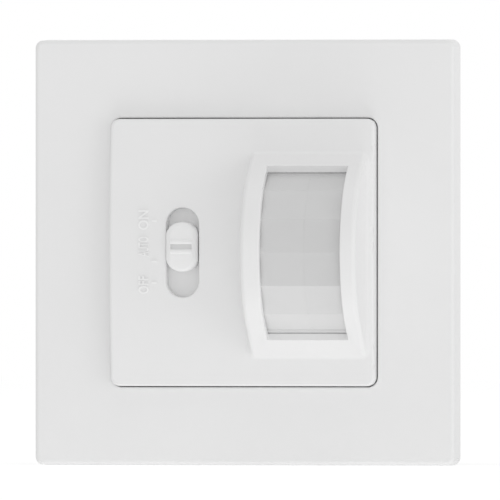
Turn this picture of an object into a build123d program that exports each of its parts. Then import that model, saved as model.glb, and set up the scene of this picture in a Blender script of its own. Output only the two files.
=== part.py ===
from build123d import *
from math import cos, hypot, radians, sin, tan
import os

# A flush wall switch with a motion sensor. Millimetres, X to the right, Z up.
# The wall is the plane Y = 0 and the front of the switch looks along -Y.
# "Forward" is the distance in front of the wall, so what lies in the wall box is negative.

# General clearances
overrun = 1.0             # how far every cut runs past what it cuts
seat = 0.1                # rest gap between faces that meet on different moving pieces
slip = 0.15               # side gap of a sliding piece
thread_play = 0.05        # radial gap of a screw in its hole
fit_play = 0.2            # side gap of a piece in its pocket

# Outer frame
frame_side = 80.0
frame_height = 6.8
frame_wall = 1.8
frame_corner = 1.6
frame_edge = 0.8
frame_draft = 1.5         # degrees
collar_wall = 1.4
lip_thickness = 1.5
opening_edge = 0.35       # rounding of the opening's front edge
frame_rib = 1.0
frame_rib_depth = 2.0
frame_rib_places = (-24.0, -14.0, 14.0, 24.0)

# Centre cover
cover_side = 50.0
cover_gap = 0.27
cover_corner = 1.65
cover_rise = 2.2          # edge of the cover in front of the frame
cover_crown = 1.8         # rise of the cover from its edge to its middle line
cover_wall = 1.6
cover_edge = 0.6
skirt_wall = 1.4

# Hood over the lens
hood_left = 1.7
hood_right = 23.6
hood_radius = 17.5
hood_reach = 13.0         # crown of the hood in front of the crown of the cover
hood_length = 38.4
hood_wall = 1.4
hood_edge = 0.9
hood_foot = 1.2           # hollow rounding between the hood's ends and the cover
window_left = 5.4
window_right = 20.65
window_upper_angle = 66.0
window_lower_angle = 67.3
window_edge = 0.25        # rounding of the window's front edge

# Lens
lens_facets = 6
lens_facet_angle = 23.0
lens_thickness = 0.9
lens_side_gap = 0.2
lens_seam = 13.6          # place of the seam between the two columns of facets
lens_border_angle = 3.5   # even border at each end of the facets
lens_seam_depth = 0.03
lens_seam_width = 0.2

# Slot and knob of the mode switch
slot_centre = -11.15
slot_width = 6.2
slot_length = 16.8
slot_pad_depth = 0.8      # pad behind the cover's plate round the slot
slot_edge = 0.3           # rounding of the slot's front edge
knob_width = 5.1
knob_length = 9.3
knob_reach = 1.6          # front of the knob in front of the crown of the cover
knob_rest = 1.05          # centre of the knob above the cover's centre, as in the photograph
knob_crown = 0.5
knob_edge = 0.75
groove_width = 4.0
groove_length = 1.15
groove_depth = 0.7
groove_lip = 0.45         # radius of the two ridges beside the groove
dust_skirt_thickness = 0.8
dust_skirt_width = 8.4
dust_skirt_margin = 0.5
knob_guide_wall = 1.0
fork_prong = 1.2
fork_width = 3.2

# Mode switch on the sensor board
lever_width = 2.4
lever_length = 2.0
lever_reach = 6.1         # forward place of the tip of the lever
lever_foot = 1.4
switch_width = 6.6
switch_length = 15.0
switch_height = 4.2
switch_wall = 0.6

# Retainer behind the lens
retainer_left = -16.6
retainer_right = 22.9
retainer_half_height = 19.4
retainer_thickness = 1.0
cheek_wall = 1.1
cheek_depth = 3.6
stake_radius = 0.9
stake_length = 0.5
stake_boss_radius = 1.7

# Legs that hold the cover in the insert
leg_width = 5.0
leg_thickness = 1.4
leg_place = 12.0
leg_margin = 1.9          # from a leg's centre to the side of the flange
leg_tip = 1.5             # forward place of a leg's tip

# Mounting ring
ring_margin = 4.5         # from the ring's side to the frame's side
ring_thickness = 1.2
ring_corner = 6.0
ring_rim_height = 1.0
ring_notch = 2.0
screw_spacing = 60.0      # box screws
screw_slot_width = 3.4
screw_slot_length = 6.4

# Insert housing
flange_side = 46.0
flange_thickness = 1.4
flange_corner = 3.0
flange_play = 0.3         # side gap between the flange and the frame's lip
body_width = 42.0
body_height = 44.0
body_round = 4.0          # how far the body's round sides reach past its flat ones
body_depth = 23.5
body_wall = 1.4
body_clearance = 0.3
body_edge = 1.0
recess_width = 12.0       # pocket of a claw
recess_floor = 17.0       # distance of the pocket's floor from the middle

# Carrier plate over the housing
carrier_thickness = 1.5
carrier_post_radius = 1.6
insert_screw_margin = 3.0 # from an insert screw to the sides of the flange
insert_screw_radius = 1.25
insert_screw_head = 2.2
insert_screw_head_height = 1.2

# Claws
claw_pin_depth = 2.4      # behind the wall plane
claw_pin_height = 18.1
claw_pin_radius = 0.6
claw_lug_radius = 1.1
claw_lug_width = 4.6
claw_arm_inside = 2.7
claw_arm_thickness = 1.0
claw_arm_height = 2.0
claw_length = 13.1
claw_reach = 26.4         # tip of the teeth from the middle
claw_tooth = 1.4
claw_teeth = 3
claw_screw_height = 20.9
claw_screw_radius = 1.5
claw_screw_head = 2.3
claw_screw_head_height = 1.3
claw_screw_length = 20.5
claw_nut_side = 5.0
claw_nut_thickness = 2.2
claw_nut_gap = 0.6
driver_slot = 0.6
driver_slot_depth = 0.6

# Sensor board and what it carries
sensor_board_depth = 2.8  # front face behind the wall plane
sensor_board_thickness = 1.2
board_gap = 0.4
pir_place = 13.0
can_radius = 4.6
can_rim = 0.3
can_rim_height = 0.5
can_height = 4.2
can_front = 6.7
can_window_width = 4.8
can_window_height = 3.8
can_window_thickness = 0.5
can_lead_radius = 0.25
can_lead_circle = 2.54
light_sensor_place = -10.4
light_sensor_radius = 1.5
light_sensor_front = 5.0
light_sensor_height = 3.4
trimmer_across = -1.8
trimmer_up = 9.5
trimmer_side = 6.5
trimmer_height = 3.2
dial_radius = 2.9
dial_front = 5.2
dial_height = 3.0
dial_shaft_radius = 1.2
dial_slot_width = 0.9
dial_slot_depth = 1.0
dial_pointer = 0.5
chip_side = 7.0
chip_height = 1.4
chip_place = -2.0
header_pins = 5
header_spacing = 2.0
header_height = -13.6
header_pin = 0.5
header_bar = 2.2

# Power board and what it carries
power_board_depth = 8.0
power_board_thickness = 1.6
layout_width = 39.2       # width of the housing's room that the places below are drawn for
layout_depth = 12.5       # depth of that room behind the board
relay_size = (15.5, 12.0, 10.5)
relay_place = (-10.0, 6.0)
film_size = (13.0, 10.5, 6.0)
film_place = (6.6, 11.0)
drum_full_radius = 4.0
drum_full_length = 11.5
drum_height = 3.0
drum_across = (2.6, 11.6)
drum_groove = 0.3
disc_full_radius = 3.2
disc_full_thickness = 3.0
disc_place = (17.6, 6.0)
fuse_full_radius = 1.7
fuse_full_length = 9.0
fuse_place = (-9.0, 13.3)
part_standoff = 0.3
part_edge = 0.4

# Terminals
terminal_count = 4
terminal_pitch = 7.4
terminal_block_height = 11.6
terminal_block_depth = 9.0
terminal_block_place = -9.6
wire_bore = 1.6
screw_bore = 2.1
terminal_split = 5.2      # from a wire entry to its screw
cage_width = 5.4
cage_depth = 5.0
terminal_screw_radius = 1.4
terminal_screw_head = 1.9
terminal_screw_head_height = 1.2
terminal_screw_length = 5.6

# Places worked out from the sizes above
cover_front_edge = frame_height + cover_rise
cover_front = cover_front_edge + cover_crown
crown_radius = ((cover_side / 2) ** 2 + cover_crown ** 2) / (2 * cover_crown)
crown_centre = cover_front - crown_radius
hood_front = cover_front + hood_reach
hood_centre = hood_front - hood_radius
frame_opening = cover_side + 2 * cover_gap
ring_side = frame_side - 2 * ring_margin
lip_opening = flange_side + 2 * flange_play
carrier_side = flange_side - 2 * flange_play
leg_centre = flange_side / 2 - leg_margin
insert_screw_place = flange_side / 2 - insert_screw_margin
body_radius = body_width / 2 + body_round
lip_front = ring_thickness + lip_thickness
skirt_back = lip_front + seat
flange_front = ring_thickness + flange_thickness
carrier_front = flange_front + carrier_thickness
pad_back = cover_front - cover_wall - slot_pad_depth
dust_front = pad_back - seat
dust_back = dust_front - dust_skirt_thickness
retainer_front = dust_back - fit_play
retainer_back = retainer_front - retainer_thickness
knob_travel = (slot_length - knob_length) / 2 - slip
lens_radius = hood_radius - hood_wall - thread_play
board_front = -sensor_board_depth
board_back = board_front - sensor_board_thickness
power_front = -power_board_depth
power_back = power_front - power_board_thickness
body_back = -body_depth
terminal_front = body_back + terminal_block_depth
room_width = body_width - 2 * body_wall
room_depth = power_back - body_back - body_wall
across_share = room_width / layout_width
depth_share = room_depth / layout_depth
small_share = min(across_share, depth_share)
drum_radius = drum_full_radius * across_share
drum_length = drum_full_length * depth_share
disc_radius = disc_full_radius * small_share
disc_thickness = disc_full_thickness * across_share
fuse_radius = fuse_full_radius * small_share
fuse_length = fuse_full_length * across_share


def slab(outline, back, front):
    """An outline seen from the front, made solid between two forward places."""
    return extrude(Plane.XZ.offset(back) * outline, front - back)


def side_slab(profile, left, right):
    """A profile seen from the side (backward, up), made solid between two places along X."""
    return extrude(Plane.YZ.offset(left) * profile, right - left)


def side_box(back, front, height):
    return Pos(-(back + front) / 2, 0) * Rectangle(front - back, height)


def disc(x, z, radius, back, front):
    return slab(Pos(x, z) * Circle(radius), back, front)


def block(x, z, width, height, back, front):
    return slab(Pos(x, z) * Rectangle(width, height), back, front)


def soft_block(x, z, width, height, back, front, corner):
    return slab(Pos(x, z) * RectangleRounded(width, height, corner), back, front)


def four(place):
    """The four corners of a square pattern."""
    return [(x, z) for x in (-place, place) for z in (-place, place)]


def both_ways(solid):
    """The solid above the middle and its copy below."""
    return solid, Rot(0, 180, 0) * solid


# Outer frame

def outer_frame():
    shell = extrude(Plane.XZ * RectangleRounded(frame_side, frame_side, frame_corner), frame_height, taper=frame_draft)
    front_face = shell.faces().sort_by(Axis.Y)[0]
    shell = fillet(front_face.edges(), frame_edge)
    inner_side = frame_side - 2 * frame_wall
    shell -= extrude(
        Plane.XZ.offset(-overrun) * RectangleRounded(inner_side, inner_side, frame_corner),
        frame_height - frame_wall + overrun,
        taper=frame_draft,
    )
    collar_side = frame_opening + 2 * collar_wall
    shell += soft_block(0, 0, collar_side, collar_side, ring_thickness, frame_height - frame_wall, frame_corner)
    rib_front = frame_height - frame_wall
    rib_back = rib_front - frame_rib_depth
    rib_reach = (frame_side - collar_side) / 2 - frame_wall
    rib_middle = (collar_side + rib_reach) / 2
    for place in frame_rib_places:
        for side in (-rib_middle, rib_middle):
            shell += block(side, place, rib_reach, frame_rib, rib_back, rib_front)
            shell += block(place, side, frame_rib, rib_reach, rib_back, rib_front)
    shell -= soft_block(0, 0, frame_opening, frame_opening, lip_front, frame_height + overrun, cover_corner + cover_gap)
    shell = fillet(shell.faces().sort_by(Axis.Y)[0].inner_wires()[0].edges(), opening_edge)
    shell -= soft_block(0, 0, lip_opening, lip_opening, ring_thickness - overrun, lip_front + overrun, cover_corner)
    return shell


# Centre cover with its hood

def crown_profile(radius, back):
    """Side view of the cover's crown, down to a forward place."""
    crown = Pos(-crown_centre, 0) * Circle(radius)
    return crown & side_box(back, cover_front + overrun, cover_side + 2 * overrun)


def hood_profile(radius, length, back):
    """Side view of the hood: an arc with straight ends that run down to the cover."""
    arc = Pos(-hood_centre, 0) * Circle(radius)
    foot = side_box(back, cover_front_edge, length)
    outline = make_hull((arc + foot).edges())
    return outline & side_box(back, hood_front + overrun, hood_length + 2 * overrun)


def sector(upper_angle, lower_angle, reach):
    """Wedge seen from the side, from the hood's centre forwards."""
    rise = reach * tan(radians(upper_angle))
    fall = reach * tan(radians(lower_angle))
    wedge = make_face(Polyline((0, 0), (-reach, rise), (-reach, -fall), close=True))
    return Pos(-hood_centre, 0) * wedge


def hood_outside():
    hood = side_slab(hood_profile(hood_radius, hood_length, cover_front_edge - cover_wall), hood_left, hood_right)
    sides = hood.faces().filter_by(Axis.X)
    rims = [edge for face in sides for edge in face.edges()]
    return fillet([edge for edge in rims if edge.center().Y < -cover_front], hood_edge)


def plate_outside():
    inside_line = side_slab(crown_profile(crown_radius, skirt_back), -cover_side / 2, cover_side / 2)
    plate = inside_line & slab(
        RectangleRounded(cover_side, cover_side, cover_corner), skirt_back, cover_front + overrun
    )
    return fillet(plate.faces().sort_by(Axis.Y)[0].edges(), cover_edge)


def stake_places():
    guide = dust_skirt_width / 2 + slip + knob_guide_wall / 2
    right_of_slot = slot_centre + guide + stake_boss_radius
    from_middle = retainer_half_height - stake_boss_radius - 2 * fit_play
    return [(right_of_slot, -from_middle), (right_of_slot, from_middle)]


def cover_inner_pieces():
    """Pad round the slot, guides of the knob, bosses of the retainer and legs, each run into the cover's wall."""
    pad_length = slot_length + 2 * cover_wall
    pieces = [block(slot_centre, 0, dust_skirt_width, pad_length, pad_back, cover_front)]
    guide_length = 2 * retainer_half_height - 2 * fit_play
    for side in (-1, 1):
        guide = slot_centre + side * (dust_skirt_width / 2 + slip + knob_guide_wall / 2)
        pieces.append(block(guide, 0, knob_guide_wall, guide_length, retainer_front, cover_front))
    for x, z in stake_places():
        boss = disc(x, z, stake_boss_radius, retainer_front, cover_front)
        pieces.append(boss + disc(x, z, stake_radius, retainer_back - stake_length, retainer_front))
    web_height = cover_side / 2 - leg_centre
    web_centre = (leg_centre + cover_side / 2 - skirt_wall / 2) / 2
    for x in (-leg_place, leg_place):
        for side in (-1, 1):
            leg = block(x, side * leg_centre, leg_width, leg_thickness, leg_tip, cover_front)
            web = block(x, side * web_centre, cover_wall, web_height, carrier_front + fit_play, cover_front)
            pieces.append(leg + web)
    return pieces


def rounded_foot(cover):
    """Rounds the corners in which the hood's ends meet the cover."""
    across = cover.edges().filter_by(Axis.X)
    foot = [edge for edge in across if abs(abs(edge.center().Z) - hood_length / 2) < cover_wall
            and edge.center().X > hood_left and edge.center().Y > -cover_front]
    return fillet([edge for edge in foot if edge.center().Y < -cover_front_edge], hood_foot)


def on_hood(corner):
    return abs(hypot(corner.Y + hood_centre, corner.Z) - hood_radius) < thread_play


def rounded_window(cover):
    """Rounds the front edge of the window in the hood."""
    across = [edge for edge in cover.edges() if window_left - slip < edge.center().X < window_right + slip]
    return fillet([edge for edge in across if all(on_hood(corner) for corner in edge.vertices())], window_edge)


def rounded_slot(cover):
    """Rounds the front edge of the slot."""
    rim = [edge for edge in cover.edges() if abs(edge.center().X - slot_centre) < slot_width
           and abs(edge.center().Z) < slot_length and edge.center().Y < -(cover_front - cover_wall / 2)]
    return fillet(rim, slot_edge)


def centre_cover():
    cover = rounded_foot(plate_outside() + hood_outside())
    inner_side = cover_side - 2 * skirt_wall
    hollow = side_slab(crown_profile(crown_radius - cover_wall, skirt_back - overrun), -cover_side / 2, cover_side / 2)
    hollow &= soft_block(0, 0, inner_side, inner_side, skirt_back - overrun, cover_front, cover_corner)
    cover -= hollow
    cavity = hood_profile(hood_radius - hood_wall, hood_length - 2 * hood_wall, skirt_back)
    cover -= side_slab(cavity, hood_left + hood_wall, hood_right - hood_wall)
    opening = sector(window_upper_angle, window_lower_angle, hood_radius + overrun)
    opening &= side_box(hood_centre, hood_front + overrun, hood_length)
    cover -= side_slab(opening, window_left, window_right)
    inside = side_slab(crown_profile(crown_radius - cover_wall / 2, leg_tip), -cover_side / 2, cover_side / 2)
    for piece in cover_inner_pieces():
        cover += piece & inside
    cover -= slab(Pos(slot_centre, 0) * Rot(0, 0, 90) * SlotOverall(slot_length, slot_width),
                  pad_back - overrun, cover_front + overrun)
    return rounded_window(rounded_slot(cover))


# Lens of flat facets

def facet_arc(radius, count, step):
    """Corner points of the facets seen from the side, from the lowest to the highest."""
    start = -count * step / 2
    angles = [radians(start + i * step) for i in range(count + 1)]
    return [(-hood_centre - radius * cos(a), radius * sin(a)) for a in angles]


def facet_band(outer, inner):
    """Side view of a band of flat facets between two radii."""
    outside = facet_arc(outer, lens_facets, lens_facet_angle)
    inside = facet_arc(inner, lens_facets, lens_facet_angle)
    return make_face(Polyline(*outside, *reversed(inside), close=True))


def lens():
    left = hood_left + hood_wall + lens_side_gap
    right = hood_right - hood_wall - lens_side_gap
    half_step = radians(lens_facet_angle / 2)
    sheet = side_slab(facet_band(lens_radius, lens_radius - lens_thickness / cos(half_step)), left, right)
    groove = facet_band(lens_radius + overrun, lens_radius - lens_seam_depth / cos(half_step))
    sheet -= side_slab(groove, lens_seam - lens_seam_width / 2, lens_seam + lens_seam_width / 2)
    end = lens_facets * lens_facet_angle / 2
    start = end - lens_border_angle
    hoop = Pos(-hood_centre, 0) * (Circle(lens_radius) - Circle(lens_radius - lens_thickness))
    hoop &= sector(end, end, lens_radius + overrun)
    hoop -= sector(start, start, lens_radius + 2 * overrun)
    return sheet + side_slab(hoop, left, right)


def lens_retainer():
    width = retainer_right - retainer_left
    centre = (retainer_left + retainer_right) / 2
    plate = block(centre, 0, width, 2 * retainer_half_height, retainer_back, retainer_front)
    cavity_left = hood_left + hood_wall + lens_side_gap
    cavity_right = hood_right - hood_wall - lens_side_gap
    half_step = radians(lens_facet_angle / 2)
    outer = lens_radius - lens_thickness / cos(half_step) - seat
    arch = facet_band(outer, outer - cheek_depth)
    arch_end = outer * sin(radians(lens_facets * lens_facet_angle / 2))
    foot_height = cheek_depth
    for left in (cavity_left, cavity_right - cheek_wall):
        cheek = side_slab(arch, left, left + cheek_wall)
        for z in (-arch_end + foot_height / 2, arch_end - foot_height / 2):
            arch_foot = hood_centre + outer * cos(radians(lens_facets * lens_facet_angle / 2))
            cheek += block(left + cheek_wall / 2, z, cheek_wall, foot_height, retainer_back, arch_foot)
        plate += cheek
    opening_left = cavity_left + cheek_wall
    opening_right = cavity_right - cheek_wall
    plate -= block((opening_left + opening_right) / 2, 0, opening_right - opening_left,
                   2 * (arch_end - fit_play), retainer_back - overrun, retainer_front + overrun)
    fork_reach = knob_travel + lever_length / 2 + fork_prong + 2 * slip
    plate -= block(slot_centre, 0, fork_width + 2 * fit_play, 2 * fork_reach, retainer_back - overrun,
                   retainer_front + overrun)
    for x, z in stake_places():
        plate -= disc(x, z, stake_radius + thread_play, retainer_back - overrun, retainer_front + overrun)
    for x in (-leg_place, leg_place):
        for z in (-leg_centre, leg_centre):
            plate -= block(x, z, leg_width + 2 * fit_play, 2 * leg_thickness, retainer_back - overrun,
                           retainer_front + overrun)
    return plate


# Mode knob, in the place that the photograph shows

def mode_knob():
    front = cover_front + knob_reach
    grip = slab(Rot(0, 0, 90) * SlotOverall(knob_length, knob_width), dust_front, front)
    crown = (knob_length / 2) ** 2 / (2 * knob_crown)
    grip &= side_slab(Pos(-(front - crown), 0) * Circle(crown) & side_box(dust_front, front, knob_length),
                      -knob_width, knob_width)
    grip = fillet(grip.faces().sort_by(Axis.Y)[0].edges(), knob_edge)
    for side in (-1, 1):
        bar = Pos(groove_lip / 2 - front, side * (groove_length / 2 + groove_lip)) * Circle(groove_lip)
        grip += side_slab(bar, -groove_width / 2, groove_width / 2)
    grip -= block(0, 0, groove_width, groove_length, front - groove_depth, front + overrun)
    skirt_half = slot_length / 2 + knob_travel + dust_skirt_margin
    skirt = block(0, 0, dust_skirt_width, 2 * skirt_half, dust_back, dust_front)
    fork_back = lever_reach - lever_foot
    for side in (-1, 1):
        prong = side * (lever_length / 2 + slip + fork_prong / 2)
        skirt += block(0, prong, fork_width, fork_prong, fork_back, dust_back)
    return Pos(slot_centre, 0, knob_rest) * (grip + skirt)


# Slide switch that the knob drives

def switch_throw():
    return knob_travel + lever_length / 2 + slip


def mode_switch_body():
    front = board_front + switch_height
    body = soft_block(slot_centre, 0, switch_width, switch_length, board_front, front, switch_wall)
    body -= block(slot_centre, 0, switch_width - 2 * switch_wall, switch_length - 2 * switch_wall,
                  board_front + switch_wall, front - switch_wall)
    body -= block(slot_centre, 0, lever_width + 2 * slip, 2 * switch_throw(), front - 2 * switch_wall, front + overrun)
    return body


def mode_switch_lever():
    front = board_front + switch_height
    foot_back = board_front + switch_wall + slip
    foot_front = front - switch_wall - slip
    foot_length = lever_length + 2 * lever_foot
    lever = block(0, 0, lever_width, lever_length, foot_back, lever_reach)
    lever += block(0, 0, switch_width - 2 * switch_wall - 2 * slip, foot_length, foot_back, foot_front)
    return Pos(slot_centre, 0, knob_rest) * lever


# Mounting ring

def body_outline(grow):
    """The insert's outline in the wall box, without the claw pockets."""
    outline = Circle(body_radius + grow)
    return outline & Rectangle(body_width + 2 * grow, body_height + 2 * grow)


def claw_pockets(grow):
    """Pockets of the two claws, seen from the front."""
    height = body_radius - recess_floor + grow + overrun
    pocket = Sketch() + [
        Pos(0, side * (recess_floor - grow + height / 2)) * Rectangle(recess_width + 2 * grow, height)
        for side in (-1, 1)
    ]
    return pocket


def mounting_ring():
    plate = RectangleRounded(ring_side, ring_side, ring_corner)
    ring = slab(plate, 0, ring_thickness)
    rim_side = ring_side - 2 * ring_thickness
    rim = slab(plate, ring_thickness, ring_thickness + ring_rim_height)
    rim -= soft_block(0, 0, rim_side, rim_side, 0, ring_thickness + ring_rim_height + overrun,
                      ring_corner - ring_thickness)
    ring += rim
    ring -= slab(body_outline(body_clearance) - claw_pockets(-body_clearance), -overrun, ring_thickness + overrun)
    for side in (-1, 1):
        slot = SlotOverall(screw_slot_length, screw_slot_width)
        ring -= slab(Pos(side * screw_spacing / 2, 0) * slot, -overrun, ring_thickness + overrun)
        ring -= slab(Pos(0, side * screw_spacing / 2) * Rot(0, 0, 90) * slot, -overrun, ring_thickness + overrun)
        ring -= disc(side * ring_side / 2, 0, ring_notch, -overrun, ring_thickness + ring_rim_height + overrun)
        ring -= disc(0, side * ring_side / 2, ring_notch, -overrun, ring_thickness + ring_rim_height + overrun)
        ring -= disc(0, side * claw_screw_height, claw_screw_radius + thread_play, -overrun, ring_thickness + overrun)
    for x, z in four(insert_screw_place):
        ring -= disc(x, z, insert_screw_radius + thread_play, -overrun, ring_thickness + overrun)
    return ring


def head_notch(back, front):
    """Room for the heads of the claw screws at the edge of a plate."""
    width = 2 * (claw_screw_head + fit_play)
    bottom = claw_screw_height - claw_screw_head - fit_play
    height = frame_side / 2 - bottom
    notch = block(0, bottom + height / 2, width, height, back, front)
    upper, lower = both_ways(notch)
    return upper + lower


# Insert housing

def insert_housing():
    shell_outline = body_outline(0) - claw_pockets(0)
    inner_outline = body_outline(-body_wall) - claw_pockets(body_wall)
    shell = slab(shell_outline, body_back, ring_thickness)
    shell = fillet(shell.faces().sort_by(Axis.Y)[-1].edges(), body_edge)
    shell += soft_block(0, 0, flange_side, flange_side, ring_thickness, flange_front, flange_corner)
    shell -= slab(inner_outline, body_back + body_wall, flange_front + overrun)
    shell -= head_notch(ring_thickness - overrun, flange_front + overrun)
    upper_lug = side_slab(lug_profile(), -claw_lug_width / 2, claw_lug_width / 2)
    for lug in both_ways(upper_lug):
        shell += lug
    hole = side_slab(Pos(claw_pin_depth, claw_pin_height) * Circle(claw_pin_radius + thread_play),
                     -claw_lug_width, claw_lug_width)
    for bore in both_ways(hole):
        shell -= bore
    block_width = terminal_count * terminal_pitch + 2 * fit_play
    block_height = terminal_block_height + 2 * fit_play
    shell -= block(0, terminal_block_place, block_width, block_height, body_back - overrun, body_back + 2 * body_wall)
    for x, z in four(insert_screw_place):
        shell -= disc(x, z, insert_screw_radius + thread_play, ring_thickness - overrun, flange_front + overrun)
    for x in (-leg_place, leg_place):
        for z in (-leg_centre, leg_centre):
            shell -= block(x, z, leg_width + 2 * slip, leg_thickness + 2 * slip, ring_thickness,
                           flange_front + overrun)
    return shell


def lug_profile():
    """Side view of the lug that holds a claw's pin, on the floor of its pocket."""
    lug = Pos(claw_pin_depth, claw_pin_height) * Circle(claw_lug_radius)
    root = (claw_pin_height + recess_floor - body_wall) / 2
    return lug + Pos(claw_pin_depth, root) * Rectangle(2 * claw_lug_radius, claw_pin_height - recess_floor + body_wall)


# Carrier plate

def carrier_plate():
    plate = soft_block(0, 0, carrier_side, carrier_side, flange_front, carrier_front, flange_corner)
    plate -= head_notch(flange_front - overrun, carrier_front + overrun)
    plate -= disc(pir_place, 0, can_radius + can_rim + fit_play, flange_front - overrun, carrier_front + overrun)
    plate -= disc(pir_place, light_sensor_place, light_sensor_radius + fit_play, flange_front - overrun,
                  carrier_front + overrun)
    plate -= block(slot_centre, 0, lever_width + 2 * fit_play, 2 * switch_throw() + 2 * fit_play,
                   flange_front - overrun, carrier_front + overrun)
    for z in (-trimmer_up, trimmer_up):
        plate -= disc(trimmer_across, z, dial_radius + fit_play, flange_front - overrun, carrier_front + overrun)
    for x, z in four(insert_screw_place):
        plate -= disc(x, z, insert_screw_radius + thread_play, flange_front - overrun, carrier_front + overrun)
    for x in (-leg_place, leg_place):
        for z in (-leg_centre, leg_centre):
            plate -= block(x, z, leg_width + 2 * slip, leg_thickness + 2 * slip, flange_front - overrun,
                           carrier_front + overrun)
    for x, z in post_places():
        plate += disc(x, z, carrier_post_radius, board_front, flange_front)
    return plate


def post_places():
    post_x = body_width / 2 - body_wall - board_gap - carrier_post_radius
    post_z = recess_floor - body_wall - 2 * carrier_post_radius
    return [(x, z) for x in (-post_x, post_x) for z in (-post_z, post_z)]


def insert_screws():
    """The four screws that draw the carrier plate and housing to the ring."""
    tip = thread_play
    screws = Part()
    for x, z in four(insert_screw_place):
        screw = disc(x, z, insert_screw_radius, tip, carrier_front)
        head_front = carrier_front + insert_screw_head_height
        screw += disc(x, z, insert_screw_head, carrier_front, head_front)
        screw -= cross_slot(x, z, insert_screw_head, head_front)
        screws += screw
    return screws


def cross_slot(x, z, radius, front):
    """The two crossed slots of a screw head."""
    reach = 2 * radius - 2 * driver_slot
    cross = block(x, z, reach, driver_slot, front - driver_slot_depth, front + overrun)
    return cross + block(x, z, driver_slot, reach, front - driver_slot_depth, front + overrun)


# Claws, their pins, screws and nuts; the lower set is the upper one turned over

def claw():
    flange_depth = claw_pin_depth + claw_length
    arm_top = claw_pin_height + claw_arm_height / 2
    arm_bottom = claw_pin_height - claw_arm_height / 2
    width = claw_arm_inside + claw_arm_thickness
    arms = Part()
    for side in (-1, 1):
        arm = block(side * (claw_arm_inside + claw_arm_thickness / 2), claw_pin_height, claw_arm_thickness,
                    claw_arm_height, -flange_depth - claw_arm_thickness, -claw_pin_depth)
        eye = side_slab(Pos(claw_pin_depth, claw_pin_height) * Circle(claw_arm_height / 2),
                        side * claw_arm_inside, side * width)
        arms += arm + eye
    body_top = claw_reach - claw_tooth
    flange = block(0, (arm_bottom + body_top) / 2, 2 * width, body_top - arm_bottom,
                   -flange_depth - claw_arm_thickness, -flange_depth)
    pitch = 2 * width / claw_teeth
    for i in range(claw_teeth):
        left = -width + i * pitch
        tooth = make_face(Polyline((left, body_top), (left + pitch, body_top), (left + pitch / 2, claw_reach),
                                   close=True))
        flange += slab(tooth, -flange_depth - claw_arm_thickness, -flange_depth)
    slot_top = claw_screw_height + claw_screw_radius + 2 * fit_play
    slot_half = claw_screw_radius + fit_play
    flange -= block(0, (arm_bottom + slot_top) / 2 - overrun, 2 * slot_half, slot_top - arm_bottom + 2 * overrun,
                    -flange_depth - claw_arm_thickness - overrun, -flange_depth + overrun)
    piece = arms + flange
    piece -= side_slab(Pos(claw_pin_depth, claw_pin_height) * Circle(claw_pin_radius + thread_play), -2 * width,
                       2 * width)
    return piece


def claw_pin():
    width = claw_arm_inside + claw_arm_thickness
    return side_slab(Pos(claw_pin_depth, claw_pin_height) * Circle(claw_pin_radius), -width, width)


def claw_screw():
    head_front = ring_thickness + claw_screw_head_height
    screw = disc(0, claw_screw_height, claw_screw_radius, head_front - claw_screw_length, ring_thickness)
    screw += disc(0, claw_screw_height, claw_screw_head, ring_thickness + thread_play, head_front)
    screw += disc(0, claw_screw_height, claw_screw_radius, ring_thickness, head_front - driver_slot_depth)
    slot = block(0, claw_screw_height, 2 * claw_screw_head + overrun, driver_slot, head_front - driver_slot_depth,
                 head_front + overrun)
    return screw - slot


def claw_nut():
    front = -(claw_pin_depth + claw_length + claw_arm_thickness + claw_nut_gap)
    nut = block(0, claw_screw_height, claw_nut_side, claw_nut_side, front - claw_nut_thickness, front)
    nut = chamfer(nut.faces().sort_by(Axis.Y)[-1].edges(), part_edge)
    return nut - disc(0, claw_screw_height, claw_screw_radius + thread_play, front - claw_nut_thickness - overrun,
                      front + overrun)


# Sensor board and its parts

def board_outline():
    grow = -body_wall - board_gap
    return body_outline(grow) - claw_pockets(-grow)


def sensor_board():
    board = slab(board_outline(), board_back, board_front)
    return board - header_holes(board_back, board_front) - lead_holes(board_back, board_front)


def lead_places():
    spots = [(pir_place + can_lead_circle * cos(radians(a)), can_lead_circle * sin(radians(a))) for a in (0, 120, 240)]
    return spots


def lead_holes(back, front):
    holes = Part()
    for x, z in lead_places():
        holes += disc(x, z, can_lead_radius + thread_play, back - overrun, front + overrun)
    return holes


def header_places():
    first = -(header_pins - 1) * header_spacing / 2
    return [(first + i * header_spacing, header_height) for i in range(header_pins)]


def header_holes(back, front):
    holes = Part()
    for x, z in header_places():
        holes += block(x, z, header_pin + fit_play, header_pin + fit_play, back - overrun, front + overrun)
    return holes


def board_link_pins():
    """Pin header that joins the two boards: square pins in a moulded bar."""
    bar_length = header_pins * header_spacing
    link = block(0, header_height, bar_length, header_bar, power_front, power_front + header_bar)
    for x, z in header_places():
        link += block(x, z, header_pin, header_pin, power_back - header_pin, board_front + header_pin)
    return link


def can_seat():
    return can_front - can_height


def pir_sensor_can():
    back = can_seat()
    can = disc(pir_place, 0, can_radius, back, can_front)
    can = fillet(can.faces().sort_by(Axis.Y)[0].edges(), part_edge)
    can += disc(pir_place, 0, can_radius + can_rim, back, back + can_rim_height)
    window = block(pir_place, 0, can_window_width, can_window_height, can_front - can_window_thickness,
                   can_front + overrun)
    can -= window
    for x, z in lead_places():
        can += disc(x, z, can_lead_radius, board_back - can_lead_radius, back)
    return can


def pir_window():
    return block(pir_place, 0, can_window_width, can_window_height, can_front - can_window_thickness,
                 can_front - can_lead_radius)


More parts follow.
